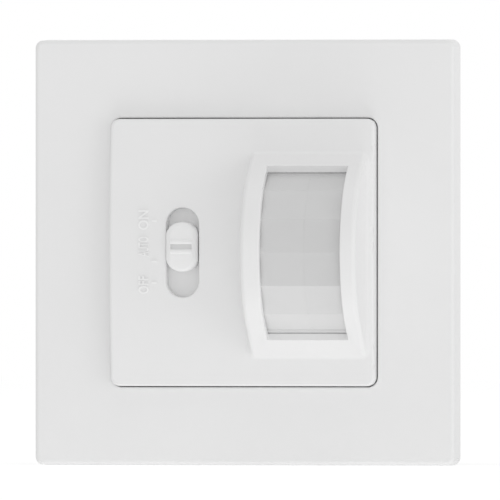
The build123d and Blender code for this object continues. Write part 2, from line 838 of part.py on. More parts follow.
def sensor_holder():
    """Moulded spacer that carries the sensor can and the light sensor above the board."""
    back = board_front
    holder = disc(pir_place, 0, can_radius, back, can_seat())
    tube_radius = 2 * light_sensor_radius
    seat_front = light_sensor_front - light_sensor_height
    holder += disc(pir_place, light_sensor_place, tube_radius, back, seat_front)
    holder += block(pir_place, light_sensor_place / 2, tube_radius, -light_sensor_place, back, back + tube_radius)
    holder -= lead_holes(back, can_seat())
    for side in (-1, 1):
        holder -= disc(pir_place + side * light_lead_offset(), light_sensor_place, can_lead_radius + thread_play,
                       back - overrun, seat_front + overrun)
    return holder


def light_lead_offset():
    return light_sensor_radius / 2


def light_sensor():
    seat_front = light_sensor_front - light_sensor_height
    sensor = disc(pir_place, light_sensor_place, light_sensor_radius, seat_front, light_sensor_front)
    sensor = fillet(sensor.faces().sort_by(Axis.Y)[0].edges(), light_sensor_radius - fit_play)
    for side in (-1, 1):
        sensor += disc(pir_place + side * light_lead_offset(), light_sensor_place, can_lead_radius, board_front,
                       seat_front)
    return sensor


def trimmer_base(z):
    front = board_front + trimmer_height
    base = soft_block(trimmer_across, z, trimmer_side, trimmer_side, board_front, front, part_edge)
    return base - disc(trimmer_across, z, dial_shaft_radius + thread_play, board_front + part_edge, front + overrun)


def trimmer_dial(z):
    front = dial_front
    head_back = front - dial_height
    dial = disc(trimmer_across, z, dial_radius, head_back, front)
    dial = chamfer(dial.faces().sort_by(Axis.Y)[0].edges(), part_edge)
    dial += disc(trimmer_across, z, dial_shaft_radius, board_front + part_edge + slip, head_back)
    reach = 2 * (dial_radius - dial_slot_width)
    dial -= block(trimmer_across, z, reach, dial_slot_width, front - dial_slot_depth, front + overrun)
    dial -= block(trimmer_across, z, dial_slot_width, reach, front - dial_slot_depth, front + overrun)
    pointer_place = z + dial_radius - dial_pointer
    dial -= block(trimmer_across, pointer_place, dial_pointer, 2 * dial_pointer, front - dial_pointer,
                  front + overrun)
    return dial


def controller_chip():
    front = board_back
    chip = block(chip_place, 0, chip_side, chip_side, front - chip_height, front)
    chip = chamfer(chip.faces().sort_by(Axis.Y)[-1].edges(), part_edge / 2)
    return chip


# Power board and its parts

def power_board():
    board = slab(board_outline(), power_back, power_front)
    return board - header_holes(power_back, power_front)


def in_room(size):
    """Width, depth and height of a part, fitted to the housing's room."""
    width, depth, height = size
    return width * across_share, depth * depth_share, height


def relay():
    width, depth, height = in_room(relay_size)
    x, z = relay_place[0] * across_share, relay_place[1]
    back = power_back - part_standoff
    case = block(x, z, width, height, back - depth, back)
    case = fillet(case.edges().filter_by(Axis.Y), part_edge)
    pin_x, pin_z = width / 2 - 2 * part_edge, height / 2 - 2 * part_edge
    for side in (-1, 1):
        for end in (-1, 1):
            case += block(x + side * pin_x, z + end * pin_z, header_pin, header_pin, back, power_back)
    return case


def film_capacitor():
    width, depth, height = in_room(film_size)
    x, z = film_place[0] * across_share, film_place[1]
    back = power_back - part_standoff
    case = block(x, z, width, height, back - depth, back)
    case = fillet(case.edges().filter_by(Axis.Y), part_edge)
    for side in (-1, 1):
        case += disc(x + side * width / 3, z, can_lead_radius, back, power_back)
    return case


def electrolytic_capacitors():
    drums = Part()
    back = power_back - part_standoff
    neck = drum_radius - drum_groove
    neck_start = 2 * part_edge + 2 * drum_groove
    for place in drum_across:
        x = place * across_share
        side = make_face(Polyline(
            (0, 0), (drum_radius, 0), (drum_radius, neck_start), (neck, neck_start + drum_groove),
            (drum_radius, neck_start + 2 * drum_groove), (drum_radius, drum_length - drum_groove),
            (neck, drum_length), (0, drum_length), close=True,
        ))
        drum = Pos(x, -back, drum_height) * revolve(Plane.XY * side, Axis.Y)
        for end in (-1, 1):
            drum += disc(x + end * drum_radius / 3, drum_height, can_lead_radius, back, power_back)
        drums += drum
    return drums


def varistor():
    back = power_back - part_standoff
    x, z = disc_place[0] * across_share, disc_place[1]
    depth = -(back - disc_radius)
    body = side_slab(Pos(depth, z) * Circle(disc_radius), x - disc_thickness / 2, x + disc_thickness / 2)
    body = fillet(body.edges(), part_edge)
    for side in (-1, 1):
        body += disc(x, z + side * disc_radius / 2, can_lead_radius, back - disc_radius / 2, power_back)
    return body


def fuse():
    back = power_back - part_standoff
    x, z = fuse_place[0] * across_share, fuse_place[1]
    depth = -(back - fuse_radius)
    body = side_slab(Pos(depth, z) * Circle(fuse_radius), x - fuse_length / 2, x + fuse_length / 2)
    for side in (-1, 1):
        body += disc(x + side * fuse_length / 3, z, can_lead_radius, back - fuse_radius / 2, power_back)
    return body


# Terminals

def terminal_places():
    first = -(terminal_count - 1) * terminal_pitch / 2
    return [first + i * terminal_pitch for i in range(terminal_count)]


def wire_height():
    return terminal_block_place - terminal_split / 2


def screw_height():
    return terminal_block_place + terminal_split / 2


def cage_front():
    return terminal_front - fit_play


def terminal_block():
    housing = block(0, terminal_block_place, terminal_count * terminal_pitch, terminal_block_height, body_back,
                    terminal_front)
    pocket_height = terminal_block_height - 2 * body_wall
    for x in terminal_places():
        housing -= block(x, terminal_block_place, cage_width + fit_play, pocket_height, cage_front() - cage_depth -
                         fit_play, terminal_front + overrun)
        funnel = cone_at(x, wire_height(), wire_bore, wire_bore + part_edge, body_back + part_edge, body_back)
        housing -= disc(x, wire_height(), wire_bore, body_back - overrun, terminal_front) + funnel
        housing -= disc(x, screw_height(), screw_bore, body_back - overrun, terminal_front)
    return housing


def cone_at(x, z, front_radius, back_radius, front, back):
    cone = Cone(back_radius, front_radius, front - back, align=(Align.CENTER, Align.CENTER, Align.MIN))
    return Plane.XZ.offset(back) * Pos(x, z, 0) * cone


def terminal_cages():
    cages = Part()
    height = terminal_block_height - 2 * body_wall - fit_play
    front = cage_front()
    for x in terminal_places():
        cage = block(x, terminal_block_place, cage_width, height, front - cage_depth, front)
        cage -= disc(x, wire_height(), wire_bore, front - cage_depth - overrun, front - body_wall)
        cage -= disc(x, screw_height(), terminal_screw_radius + thread_play, front - cage_depth - overrun,
                     front + overrun)
        tail = block(x, terminal_block_place, cage_width / 2, header_pin, front, power_back)
        cages += cage + tail
    return cages


def terminal_screws():
    screws = Part()
    seat_back = cage_front() - cage_depth
    for x in terminal_places():
        z = screw_height()
        screw = disc(x, z, terminal_screw_radius, seat_back, seat_back + terminal_screw_length - body_wall)
        head_back = seat_back - terminal_screw_head_height
        head = disc(x, z, terminal_screw_head, head_back, seat_back)
        head -= block(x, z, 2 * terminal_screw_head + overrun, driver_slot, head_back - overrun,
                      head_back + driver_slot_depth)
        screws += screw + head
    return screws


def build():
    nodes = {
        "outer_frame": outer_frame(),
        "centre_cover": centre_cover(),
        "lens": lens(),
        "lens_retainer": lens_retainer(),
        "mode_knob": mode_knob(),
        "mode_switch_body": mode_switch_body(),
        "mode_switch_lever": mode_switch_lever(),
        "lux_trimmer_base": trimmer_base(trimmer_up),
        "lux_trimmer_dial": trimmer_dial(trimmer_up),
        "time_trimmer_base": trimmer_base(-trimmer_up),
        "time_trimmer_dial": trimmer_dial(-trimmer_up),
        "pir_sensor_can": pir_sensor_can(),
        "pir_window": pir_window(),
        "sensor_holder": sensor_holder(),
        "light_sensor": light_sensor(),
        "sensor_board": sensor_board(),
        "controller_chip": controller_chip(),
        "board_link_pins": board_link_pins(),
        "power_board": power_board(),
        "relay": relay(),
        "film_capacitor": film_capacitor(),
        "electrolytic_capacitors": electrolytic_capacitors(),
        "varistor": varistor(),
        "fuse": fuse(),
        "terminal_block": terminal_block(),
        "terminal_cages": terminal_cages(),
        "terminal_screws": terminal_screws(),
        "carrier_plate": carrier_plate(),
        "insert_screws": insert_screws(),
        "insert_housing": insert_housing(),
        "mounting_ring": mounting_ring(),
    }
    pairs = {"claw": claw(), "claw_pin": claw_pin(), "claw_screw": claw_screw(), "claw_nut": claw_nut()}
    for name, solid in pairs.items():
        nodes["upper_" + name], nodes["lower_" + name] = both_ways(solid)
    return nodes


os.makedirs("parts", exist_ok=True)
for name, solid in build().items():
    export_step(solid, f"parts/{name}.step")
    print(name)
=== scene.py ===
import bmesh
import bpy
from math import atan2, copysign, cos, degrees, hypot, pi, radians, sin, sqrt
from mathutils import Matrix, Vector


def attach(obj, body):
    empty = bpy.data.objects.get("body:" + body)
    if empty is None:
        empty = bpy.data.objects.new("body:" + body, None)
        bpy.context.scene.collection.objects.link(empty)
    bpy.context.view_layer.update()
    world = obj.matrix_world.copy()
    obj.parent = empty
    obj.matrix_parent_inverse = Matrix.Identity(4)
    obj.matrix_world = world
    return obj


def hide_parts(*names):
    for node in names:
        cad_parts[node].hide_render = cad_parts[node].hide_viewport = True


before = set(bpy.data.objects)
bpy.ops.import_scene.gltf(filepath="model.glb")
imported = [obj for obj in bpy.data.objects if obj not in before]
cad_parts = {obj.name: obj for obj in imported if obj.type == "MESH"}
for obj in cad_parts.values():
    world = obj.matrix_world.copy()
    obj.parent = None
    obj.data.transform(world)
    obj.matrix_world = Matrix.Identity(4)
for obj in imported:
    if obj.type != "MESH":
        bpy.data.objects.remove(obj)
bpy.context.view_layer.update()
mm = 0.001
print("frame loaded,", len(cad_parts), "nodes")


# shader groups, one for each effect that several finishes share

noiseSpan = (0.3, 0.7)      # most values of a noise texture lie in it
bothWays = (-1.0, 1.0)
rising = (0.0, 1.0)
falling = (1.0, 0.0)
socketKinds = {"Vector": "NodeSocketVector", "Colour": "NodeSocketColor"}      # the others are plain numbers

# what a finish has where it says nothing else
plasticBase = {
    "mottle": 0.02, "blotch": 90.0, "gloss": 0.35, "glossSpread": 0.04, "grain": 6000.0, "grainDepth": 0.004 * mm,
    "specular": 0.45, "coat": 0.0, "coatGloss": 0.1, "rubAndHighlightRadius": 0.2 * mm, "paleBase": 0.12, "paleGain": 1.25,
}
metalBase = {
    "streakScale": 900.0, "streaks": 0.1, "tarnish": 0.15, "gloss": 0.3, "grainDepth": 0.002 * mm,
    "rubAndHighlight": 0.6, "rubAndHighlightRadius": 0.25 * mm, "brightGain": 1.25,
}
resinBase = {"mottle": 0.03, "glossSpread": 0.02, "grain": 2500.0, "grainDepth": 0.001 * mm, "index": 1.5}


def addNode(tree, kind, inputs=None, **settings):
    node = tree.nodes.new(kind)
    for name, value in settings.items():
        setattr(node, name, value)
    for name, value in (inputs or {}).items():
        if isinstance(value, bpy.types.NodeSocket):
            tree.links.new(value, node.inputs[name])
        else:
            node.inputs[name].default_value = value
    return node


def mathNode(tree, operation, first, second):
    return addNode(tree, "ShaderNodeMath", {0: first, 1: second}, operation=operation).outputs["Value"]


def mapValue(tree, value, source, target):
    # the two source values become the two target values
    mapped = addNode(tree, "ShaderNodeMapRange", {
        "Value": value, "From Min": source[0], "From Max": source[1], "To Min": target[0], "To Max": target[1]})
    return mapped.outputs["Result"]


def spreadNoise(tree, vector, scale, detail, target):
    noise = addNode(tree, "ShaderNodeTexNoise", {"Vector": vector, "Scale": scale, "Detail": detail})
    return mapValue(tree, noise.outputs["Fac"], noiseSpan, target)


def scaledColour(tree, colour, factor):
    scaled = addNode(tree, "ShaderNodeVectorMath", {0: colour, "Scale": factor}, operation="SCALE")
    return scaled.outputs["Vector"]


def blendColour(tree, mask, colour, plain):
    # the plain colour shows where the mask is 1
    mix = addNode(tree, "ShaderNodeMix", {"Factor": mask}, data_type="RGBA")
    tree.links.new(colour, mix.inputs["A"])
    mix.inputs["B"].default_value = (*plain, 1.0)
    return mix.outputs["Result"]


def startGroup(name, inputs, outputs):
    group = bpy.data.node_groups.new(name, "ShaderNodeTree")
    for label, value in inputs.items():
        kind = socketKinds.get(label, "NodeSocketFloat")
        socket = group.interface.new_socket(name=label, in_out="INPUT", socket_type=kind)
        if value is not None:
            socket.default_value = value
    for label in outputs:
        kind = socketKinds.get(label, "NodeSocketFloat")
        group.interface.new_socket(name=label, in_out="OUTPUT", socket_type=kind)
    return group, group.nodes.new("NodeGroupInput"), group.nodes.new("NodeGroupOutput")


skinNoise = {"blotchDetail": 3.0, "smudgeScale": 260.0, "smudgeDetail": 4.0, "grainDetail": 2.0}


def buildMouldedSkin():
    base, noise = plasticBase, skinNoise
    group, entry, result = startGroup("mouldedSkin", {
        "Vector": None, "Colour": None, "Mottle": base["mottle"], "Blotch Scale": base["blotch"],
        "Gloss": base["gloss"], "Gloss Spread": base["glossSpread"], "Grain Scale": base["grain"],
    }, ["Colour", "Roughness", "Height"])
    vector = entry.outputs["Vector"]
    blotch = spreadNoise(group, vector, entry.outputs["Blotch Scale"], noise["blotchDetail"], bothWays)
    factor = mathNode(group, "ADD", mathNode(group, "MULTIPLY", blotch, entry.outputs["Mottle"]), 1.0)
    group.links.new(scaledColour(group, entry.outputs["Colour"], factor), result.inputs["Colour"])
    smudge = spreadNoise(group, vector, noise["smudgeScale"], noise["smudgeDetail"], bothWays)
    shift = mathNode(group, "MULTIPLY", smudge, entry.outputs["Gloss Spread"])
    group.links.new(mathNode(group, "ADD", shift, entry.outputs["Gloss"]), result.inputs["Roughness"])
    grain = addNode(group, "ShaderNodeTexNoise", {
        "Vector": vector, "Scale": entry.outputs["Grain Scale"], "Detail": noise["grainDetail"]})
    group.links.new(grain.outputs["Fac"], result.inputs["Height"])
    return group


brushNoise = {
    "stretch": (0.06, 1.0, 1.0), "streakDetail": 3.0, "cloudScale": 180.0, "cloudDetail": 4.0,
    "dullRoughness": 0.8, "streakRoughness": 0.5,
}


def buildBrushedGrain():
    base, noise = metalBase, brushNoise
    group, entry, result = startGroup("brushedGrain", {
        "Vector": None, "Colour": None, "Streak Scale": base["streakScale"], "Streaks": base["streaks"],
        "Tarnish": base["tarnish"], "Gloss": base["gloss"],
    }, ["Colour", "Roughness", "Height"])
    vector = entry.outputs["Vector"]
    stretch = addNode(group, "ShaderNodeMapping", {"Vector": vector, "Scale": noise["stretch"]})
    streak = spreadNoise(group, stretch.outputs["Vector"], entry.outputs["Streak Scale"], noise["streakDetail"],
                         bothWays)
    cloud = spreadNoise(group, vector, noise["cloudScale"], noise["cloudDetail"], rising)
    fine = mathNode(group, "MULTIPLY", streak, entry.outputs["Streaks"])
    dull = mathNode(group, "MULTIPLY", cloud, entry.outputs["Tarnish"])
    factor = mathNode(group, "SUBTRACT", mathNode(group, "ADD", fine, 1.0), dull)
    group.links.new(scaledColour(group, entry.outputs["Colour"], factor), result.inputs["Colour"])
    rough = mathNode(group, "ADD", mathNode(group, "MULTIPLY", dull, noise["dullRoughness"]), entry.outputs["Gloss"])
    rough = mathNode(group, "ADD", rough, mathNode(group, "MULTIPLY", fine, noise["streakRoughness"]))
    group.links.new(rough, result.inputs["Roughness"])
    group.links.new(streak, result.inputs["Height"])
    return group


# flat and sharp: how well the rounded normal and the face's own agree there
edgeWearAndHighlight = {"amount": 0.5, "samples": 4, "flat": 0.98, "sharp": 0.75, "patchScale": 700.0, "patchDetail": 4.0}


def buildRubbedEdgesAndHighlight():
    # a mask of the edges, broken up by patches, where the colour turns paler: partly rubbing wear, partly a painted
    # edge highlight
    wear = edgeWearAndHighlight
    group, entry, result = startGroup("rubbedEdgesAndHighlight", {
        "Vector": None, "Radius": metalBase["rubAndHighlightRadius"], "Amount": wear["amount"],
    }, ["Mask"])
    rounded = addNode(group, "ShaderNodeBevel", {"Radius": entry.outputs["Radius"]}, samples=wear["samples"])
    plain = group.nodes.new("ShaderNodeNewGeometry")
    turn = addNode(group, "ShaderNodeVectorMath", {0: rounded.outputs["Normal"], 1: plain.outputs["Normal"]},
                   operation="DOT_PRODUCT")
    edge = mapValue(group, turn.outputs["Value"], (wear["flat"], wear["sharp"]), rising)
    patch = spreadNoise(group, entry.outputs["Vector"], wear["patchScale"], wear["patchDetail"], rising)
    wornAndHighlighted = mathNode(group, "MULTIPLY", edge, patch)
    group.links.new(mathNode(group, "MULTIPLY", wornAndHighlighted, entry.outputs["Amount"]), result.inputs["Mask"])
    return group


def buildLensPaintedLight():
    # painted light and shade on the lens: the lower rows are painted lighter as if lit from below, the rows in front
    # of the sensor are painted darker with the sensor's shade, and the outer column a little darker with painted
    # shade
    group, entry, result = startGroup("lensPaintedLight", {
        "Vector": None, "Lower Rows": 0.05, "Last Row": 0.04, "Middle Rows": 0.06, "Outer Column": 0.02,
        "Row Place": 6.27 * mm, "Last Place": 11.55 * mm, "Seam Place": 13.6 * mm,
    }, ["Factor"])
    part = addNode(group, "ShaderNodeSeparateXYZ", {"Vector": entry.outputs["Vector"]})
    depth = mathNode(group, "MULTIPLY", part.outputs["Z"], -1.0)
    lower = mathNode(group, "GREATER_THAN", depth, entry.outputs["Row Place"])
    last = mathNode(group, "GREATER_THAN", depth, entry.outputs["Last Place"])
    distance = addNode(group, "ShaderNodeMath", {0: depth}, operation="ABSOLUTE").outputs["Value"]
    middle = mathNode(group, "LESS_THAN", distance, entry.outputs["Row Place"])
    outer = mathNode(group, "GREATER_THAN", part.outputs["X"], entry.outputs["Seam Place"])
    factor = 1.0
    for mask, label, operation in ((lower, "Lower Rows", "ADD"), (last, "Last Row", "ADD"),
                                   (middle, "Middle Rows", "SUBTRACT"), (outer, "Outer Column", "SUBTRACT")):
        factor = mathNode(group, operation, factor, mathNode(group, "MULTIPLY", mask, entry.outputs[label]))
    group.links.new(factor, result.inputs["Factor"])
    return group


mouldedSkin = buildMouldedSkin()
brushedGrain = buildBrushedGrain()
rubbedEdgesAndHighlight = buildRubbedEdgesAndHighlight()
lensPaintedLight = buildLensPaintedLight()


# finishes: every material is made by one of the five functions below

def startMaterial(name):
    material = bpy.data.materials.new(name)
    material.use_nodes = True
    tree = material.node_tree
    coordinate = tree.nodes.new("ShaderNodeTexCoord")
    return material, tree, tree.nodes["Principled BSDF"], coordinate.outputs["Object"]


def raiseSurface(tree, shader, height, depth):
    bump = addNode(tree, "ShaderNodeBump", {"Height": height, "Distance": depth, "Strength": 1.0})
    tree.links.new(bump.outputs["Normal"], shader.inputs["Normal"])


def placeGroup(tree, group, vector, inputs):
    node = addNode(tree, "ShaderNodeGroup", node_tree=group)
    tree.links.new(vector, node.inputs["Vector"])
    for name, value in inputs.items():
        node.inputs[name].default_value = value
    return node


def placeSkin(tree, vector, finish):
    return placeGroup(tree, mouldedSkin, vector, {
        "Colour": (*finish["colour"], 1.0), "Mottle": finish["mottle"], "Blotch Scale": finish["blotch"],
        "Gloss": finish["gloss"], "Gloss Spread": finish["glossSpread"], "Grain Scale": finish["grain"]})


def rubAndHighlightColour(tree, vector, colour, finish, rubbedAndHighlighted):
    edges = placeGroup(tree, rubbedEdgesAndHighlight, vector, {"Amount": finish["rubAndHighlight"], "Radius": finish["rubAndHighlightRadius"]})
    return blendColour(tree, edges.outputs["Mask"], colour, rubbedAndHighlighted)


def linkSurface(tree, shader, colour, surface):
    tree.links.new(colour, shader.inputs["Base Color"])
    tree.links.new(surface.outputs["Roughness"], shader.inputs["Roughness"])


def mouldedPlastic(name, look):
    finish = {**plasticBase, **look}
    material, tree, shader, vector = startMaterial(name)
    skin = placeSkin(tree, vector, finish)
    colour = skin.outputs["Colour"]
    if "rubAndHighlight" in finish:
        # paler edges: rubbing wear together with a painted edge highlight
        pale = tuple(min(1.0, finish["paleBase"] + finish["paleGain"] * part) for part in finish["colour"])
        colour = rubAndHighlightColour(tree, vector, colour, finish, pale)
    linkSurface(tree, shader, colour, skin)
    shader.inputs["Specular IOR Level"].default_value = finish["specular"]
    shader.inputs["Coat Weight"].default_value = finish["coat"]
    shader.inputs["Coat Roughness"].default_value = finish["coatGloss"]
    raiseSurface(tree, shader, skin.outputs["Height"], finish["grainDepth"])
    return material


def platedMetal(name, look):
    finish = {**metalBase, **look}
    material, tree, shader, vector = startMaterial(name)
    grain = placeGroup(tree, brushedGrain, vector, {
        "Colour": (*finish["colour"], 1.0), "Streak Scale": finish["streakScale"], "Streaks": finish["streaks"],
        "Tarnish": finish["tarnish"], "Gloss": finish["gloss"]})
    # brighter edges: rubbing wear together with a painted edge highlight
    bright = tuple(min(1.0, finish["brightGain"] * part) for part in finish["colour"])
    linkSurface(tree, shader, rubAndHighlightColour(tree, vector, grain.outputs["Colour"], finish, bright), grain)
    shader.inputs["Metallic"].default_value = 1.0
    raiseSurface(tree, shader, grain.outputs["Height"], finish["grainDepth"])
    return material


def milkySheet(name, look):
    finish = {**plasticBase, **look}
    material, tree, shader, vector = startMaterial(name)
    # the lens colour is scaled by painted light and shade: lighter lower rows, darker rows in front of the sensor, a
    # darker outer column
    paintedLight = placeGroup(tree, lensPaintedLight, vector, finish["paintedLightSteps"])
    skin = placeSkin(tree, vector, finish)
    tree.links.new(scaledColour(tree, finish["colour"], paintedLight.outputs["Factor"]), skin.inputs["Colour"])
    linkSurface(tree, shader, skin.outputs["Colour"], skin)
    shader.inputs["Specular IOR Level"].default_value = finish["specular"]
    raiseSurface(tree, shader, skin.outputs["Height"], finish["grainDepth"])
    return material


def clearResin(name, look):
    finish = {**plasticBase, **resinBase, **look}
    material, tree, shader, vector = startMaterial(name)
    skin = placeSkin(tree, vector, finish)
    linkSurface(tree, shader, skin.outputs["Colour"], skin)
    shader.inputs["Transmission Weight"].default_value = finish["clear"]
    shader.inputs["IOR"].default_value = finish["index"]
    raiseSurface(tree, shader, skin.outputs["Height"], finish["grainDepth"])
    return material


def solderMask(name, look):
    # copper tracks stand a little under the lacquer, with round pads left bare
    finish = {**plasticBase, **look}
    material, tree, shader, vector = startMaterial(name)
    skin = placeSkin(tree, vector, finish)
    tracks = addNode(tree, "ShaderNodeTexVoronoi", {"Vector": vector, "Scale": 1 / finish["trackPitch"]},
                     feature="DISTANCE_TO_EDGE", distance="EUCLIDEAN")
    track = mapValue(tree, tracks.outputs["Distance"], finish["trackEdge"], falling)
    pads = addNode(tree, "ShaderNodeTexVoronoi", {
        "Vector": vector, "Scale": 1 / finish["padPitch"], "Randomness": finish["padScatter"]}, feature="F1")
    pad = mapValue(tree, pads.outputs["Distance"], finish["padEdge"], falling)
    lighter = blendColour(tree, track, skin.outputs["Colour"], finish["trackColour"])
    linkSurface(tree, shader, blendColour(tree, pad, lighter, finish["padColour"]), skin)
    tree.links.new(pad, shader.inputs["Metallic"])
    raiseSurface(tree, shader, mathNode(tree, "ADD", track, pad), finish["relief"])
    return material


finishes = {
    "frameWhite": {"colour": (0.89, 0.89, 0.89), "gloss": 0.38, "mottle": 0.006, "glossSpread": 0.03},
    "coverWhite": {"colour": (0.89, 0.89, 0.89), "gloss": 0.36, "mottle": 0.006, "glossSpread": 0.03},
    # lighter than the cover's white: painted light that lifts the shade of the slot floor and the gaps beside the
    # knob
    "knobWhitePaintedLight": {"colour": (0.93, 0.93, 0.93), "gloss": 0.34, "mottle": 0.006, "glossSpread": 0.03},
    # lighter than the cover's white: painted light on the raised words, against the shade they gather
    "markWhitePaintedLight": {"colour": (0.97, 0.97, 0.97), "gloss": 0.3, "mottle": 0.01},
    "retainerWhite": {"colour": (0.88, 0.88, 0.87), "gloss": 0.42, "mottle": 0.012, "rubAndHighlight": 0.1},
    "printDark": {"colour": (0.12, 0.12, 0.125), "gloss": 0.5, "mottle": 0.05},
    "holderBlack": {"colour": (0.028, 0.028, 0.03), "gloss": 0.5, "mottle": 0.1, "rubAndHighlight": 0.4},
    "insertGrey": {"colour": (0.30, 0.31, 0.32), "gloss": 0.55, "mottle": 0.04, "grain": 3000.0,
                   "grainDepth": 0.015 * mm, "rubAndHighlight": 0.35},
    "carrierGrey": {"colour": (0.56, 0.56, 0.55), "gloss": 0.5, "mottle": 0.03, "grain": 3000.0,
                    "grainDepth": 0.012 * mm, "rubAndHighlight": 0.2},
    "chipBlack": {"colour": (0.022, 0.022, 0.023), "gloss": 0.55, "mottle": 0.15, "grainDepth": 0.01 * mm,
                  "rubAndHighlight": 0.3},
    "trimmerBlue": {"colour": (0.05, 0.12, 0.36), "gloss": 0.4, "mottle": 0.06, "rubAndHighlight": 0.3},
    "dialWhite": {"colour": (0.76, 0.75, 0.71), "gloss": 0.45, "mottle": 0.03},
    "leverBlack": {"colour": (0.03, 0.03, 0.032), "gloss": 0.45, "mottle": 0.1, "rubAndHighlight": 0.4},
    "relayBlue": {"colour": (0.035, 0.1, 0.32), "gloss": 0.3, "mottle": 0.05, "coat": 0.3, "rubAndHighlight": 0.25},
    "filmYellow": {"colour": (0.72, 0.44, 0.05), "gloss": 0.34, "mottle": 0.05, "coat": 0.3, "rubAndHighlight": 0.2},
    "drumSleeve": {"colour": (0.02, 0.02, 0.045), "gloss": 0.28, "mottle": 0.15, "coat": 0.4, "coatGloss": 0.15},
    "discBlue": {"colour": (0.03, 0.1, 0.4), "gloss": 0.3, "mottle": 0.1, "coat": 0.5, "grainDepth": 0.02 * mm,
                 "grain": 1200.0},
    "fuseCeramic": {"colour": (0.75, 0.72, 0.62), "gloss": 0.3, "mottle": 0.05, "coat": 0.4},
    "terminalGrey": {"colour": (0.50, 0.51, 0.52), "gloss": 0.5, "mottle": 0.04, "grain": 3200.0,
                     "grainDepth": 0.012 * mm, "rubAndHighlight": 0.25},
}
metals = {
    "ringSteel": {"colour": (0.66, 0.65, 0.62), "gloss": 0.3, "tarnish": 0.18, "streaks": 0.1},
    "screwSteel": {"colour": (0.70, 0.67, 0.58), "gloss": 0.26, "tarnish": 0.2, "streaks": 0.12,
                   "streakScale": 1500.0},
    "canNickel": {"colour": (0.72, 0.71, 0.68), "gloss": 0.16, "tarnish": 0.08, "streaks": 0.05},
    "switchSteel": {"colour": (0.64, 0.64, 0.62), "gloss": 0.28, "tarnish": 0.12, "streaks": 0.1},
    "terminalBrass": {"colour": (0.72, 0.56, 0.26), "gloss": 0.3, "tarnish": 0.2, "streaks": 0.1},
    "pinBrass": {"colour": (0.76, 0.60, 0.30), "gloss": 0.22, "tarnish": 0.1, "streaks": 0.05},
}
materials = {name: mouldedPlastic(name, finish) for name, finish in finishes.items()}
materials.update({name: platedMetal(name, finish) for name, finish in metals.items()})
materials["lensMilky"] = milkySheet("lensMilky", {
    "colour": (0.705, 0.705, 0.705), "gloss": 0.42, "mottle": 0.012, "blotch": 140.0, "grain": 3500.0,
    "grainDepth": 0.006 * mm, "specular": 0.4,
    "paintedLightSteps": {"Lower Rows": 0.038, "Last Row": 0.05, "Middle Rows": 0.031, "Outer Column": 0.01}})
materials["canWindow"] = clearResin("canWindow", {"colour": (0.10, 0.05, 0.05), "gloss": 0.12, "clear": 0.6})
materials["resinClear"] = clearResin("resinClear", {"colour": (0.86, 0.88, 0.9), "gloss": 0.08, "clear": 0.85})
materials["boardGreen"] = solderMask("boardGreen", {
    "colour": (0.02, 0.16, 0.07), "gloss": 0.32, "mottle": 0.06, "glossSpread": 0.05, "grain": 5000.0,
    "trackColour": (0.035, 0.22, 0.1), "trackPitch": 4.6 * mm, "trackEdge": (0.05, 0.09),
    "padColour": (0.72, 0.7, 0.66), "padPitch": 2.54 * mm, "padEdge": (0.16, 0.2), "padScatter": 0.35,
    "relief": 0.03 * mm})
print("finishes built,", len(materials))


# every node of the frame gets its finish

nodeFinishes = {
    "outer_frame": "frameWhite", "centre_cover": "coverWhite", "lens": "lensMilky", "mode_knob": "knobWhitePaintedLight",
    "lens_retainer": "retainerWhite", "mode_switch_body": "switchSteel", "mode_switch_lever": "leverBlack",
    "lux_trimmer_base": "trimmerBlue", "time_trimmer_base": "trimmerBlue", "lux_trimmer_dial": "dialWhite",
    "time_trimmer_dial": "dialWhite", "pir_sensor_can": "canNickel", "pir_window": "canWindow",
    "sensor_holder": "holderBlack", "light_sensor": "resinClear", "sensor_board": "boardGreen",
    "controller_chip": "chipBlack", "board_link_pins": "pinBrass", "power_board": "boardGreen",
    "relay": "relayBlue", "film_capacitor": "filmYellow", "electrolytic_capacitors": "drumSleeve",
    "varistor": "discBlue", "fuse": "fuseCeramic", "terminal_block": "terminalGrey",
    "terminal_cages": "terminalBrass", "terminal_screws": "screwSteel", "carrier_plate": "carrierGrey",
    "insert_housing": "insertGrey", "mounting_ring": "ringSteel", "insert_screws": "screwSteel",
}
for side in ("upper", "lower"):
    nodeFinishes[side + "_claw"] = "ringSteel"
    nodeFinishes[side + "_claw_pin"] = "screwSteel"
    nodeFinishes[side + "_claw_screw"] = "screwSteel"
    nodeFinishes[side + "_claw_nut"] = "terminalBrass"

for name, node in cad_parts.items():
    for slot in node.material_slots:
        slot.material = materials[nodeFinishes[name]]
print("nodes dressed")


# the white mouldings are merged copies of their nodes, so that curved faces shade as one

mouldingMesh = {
    "weld": 0.0005, "cutNear": 0.001,      # mm
    "flat": 0.05, "sharp": 32, "facetSharp": 10,      # degrees: faces that are joined, edges that stay sharp
    "faceWeight": 100,
}


def newPiece(bm, name, material):
    mesh = bpy.data.meshes.new(name)
    bm.to_mesh(mesh)
    bm.free()
    piece = bpy.data.objects.new(name, mesh)
    bpy.context.scene.collection.objects.link(piece)
    mesh.materials.append(materials[material])
    return piece


def markEdges(bm, sharpAngle):
    for face in bm.faces:
        face.smooth = True
    for edge in bm.edges:
        edge.smooth = len(edge.link_faces) == 2 and edge.calc_face_angle(pi) < radians(sharpAngle)


def mergedCopy(nodeName, pieceName, body, sharpAngle):
    bm = bmesh.new()
    bm.from_mesh(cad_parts[nodeName].data)
    bmesh.ops.remove_doubles(bm, verts=bm.verts[:], dist=mouldingMesh["weld"] * mm)
    bmesh.ops.dissolve_limit(bm, angle_limit=radians(mouldingMesh["flat"]), verts=bm.verts[:], edges=bm.edges[:])
    markEdges(bm, sharpAngle)
    piece = newPiece(bm, pieceName, nodeFinishes[nodeName])
    shading = piece.modifiers.new("levelShading", "WEIGHTED_NORMAL")
    shading.keep_sharp = True
    shading.weight = mouldingMesh["faceWeight"]
    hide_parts(nodeName)
    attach(piece, body)
    return piece


